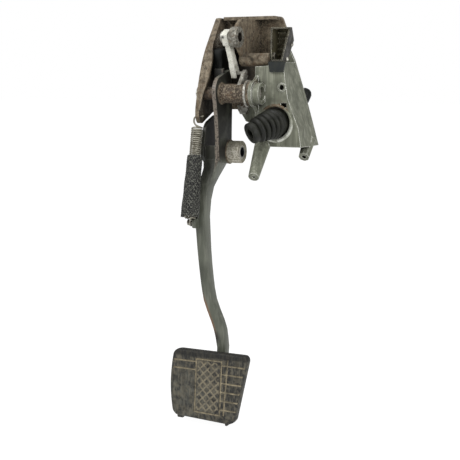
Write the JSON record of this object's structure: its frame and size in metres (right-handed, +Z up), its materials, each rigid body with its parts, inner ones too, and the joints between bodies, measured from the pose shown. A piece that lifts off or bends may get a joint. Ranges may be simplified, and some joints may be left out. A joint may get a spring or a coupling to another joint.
{
  "type": "clutch pedal",
  "caption": "Hanging truck clutch pedal with hanger bracket, return spring and cylinder bracket; swings on its pivot bolt and works a trip lever.",
  "frame": {"origin": "middle of the flat back face of the hanger bracket, the face that is bolted to the cab wall", "axes": "+Z up, +Y from the driver into the cab wall, +X to the right along the pivot bolt"},
  "size_m": [0.1451, 0.1463, 0.4737],
  "materials": {
    "rusty_steel": "rusted pressed steel with worn brown paint",
    "arm_paint": "satin olive-grey paint, worn at the edges",
    "cast_aluminium": "sand cast with brushed marks",
    "pale_aluminium": "bright cast",
    "black_rubber": "satin moulded rubber",
    "pad_rubber": "worn dusty tread",
    "spring_steel": "drawn wire, dull",
    "braid": "black braided sleeve",
    "zinc_steel": "dull zinc plate",
    "black_steel": "black paint over steel",
    "blue_grey_plastic": "moulded",
    "bronze": "sintered bronze and brass"
  },
  "bodies": {
    "bracket": {"hanger_bracket": "rusty_steel", "cylinder_bracket": "cast_aluminium", "joining_bolt_upper": "zinc_steel", "joining_bolt_lower": "zinc_steel", "pivot_bolt": "zinc_steel", "pivot_spacer": "rusty_steel", "thrust_washer": "zinc_steel", "lever_shaft": "zinc_steel", "bump_stop": "black_rubber", "master_cylinder": "black_steel", "piston_clip": "zinc_steel", "inlet_port": "black_rubber", "outlet_fitting": "bronze", "boot": "black_rubber", "switch_guard": "black_steel", "switch_body": "blue_grey_plastic", "guard_rivet_upper": "zinc_steel", "guard_rivet_lower": "zinc_steel", "guard_screw": "zinc_steel", "return_spring": "spring_steel", "braided_sleeve": "braid"},
    "pedal": {"pedal_arm": "arm_paint", "pivot_tube": "rusty_steel", "pivot_bush_left": "bronze", "pivot_bush_right": "bronze", "pushrod_eye": "rusty_steel", "eye_sleeve": "zinc_steel", "trip_lug": "zinc_steel", "spring_peg": "zinc_steel", "pad_plate": "black_steel", "pedal_pad": "pad_rubber"},
    "trip_lever": {"trip_lever": "pale_aluminium"},
    "piston": {"piston": "zinc_steel"}
  },
  "joints": [
    {"name": "pedal_swing", "type": "hinge", "parent": "bracket", "child": "pedal", "pos_m": [0, -0.064, -0.035], "axis": [1, 0, 0], "range_deg": [0, 25], "stiffness_Nm_per_rad": 4, "springref_deg": -34.38, "deforming": ["return_spring", "braided_sleeve"]},
    {"name": "lever_swing", "type": "hinge", "parent": "bracket", "child": "trip_lever", "pos_m": [-0.006, -0.072, 0.0284], "axis": [1, 0, 0], "range_deg": [-13, 0.5]},
    {"name": "piston_slide", "type": "slide", "parent": "bracket", "child": "piston", "axis": [0, 1, 0], "range_m": [0, 0.018], "stiffness_N_per_m": 400, "springref_m": -0.01}
  ],
  "couplings": [
    {"joint": "lever_swing", "follows": "pedal_swing", "ratio": -0.49}
  ]
}
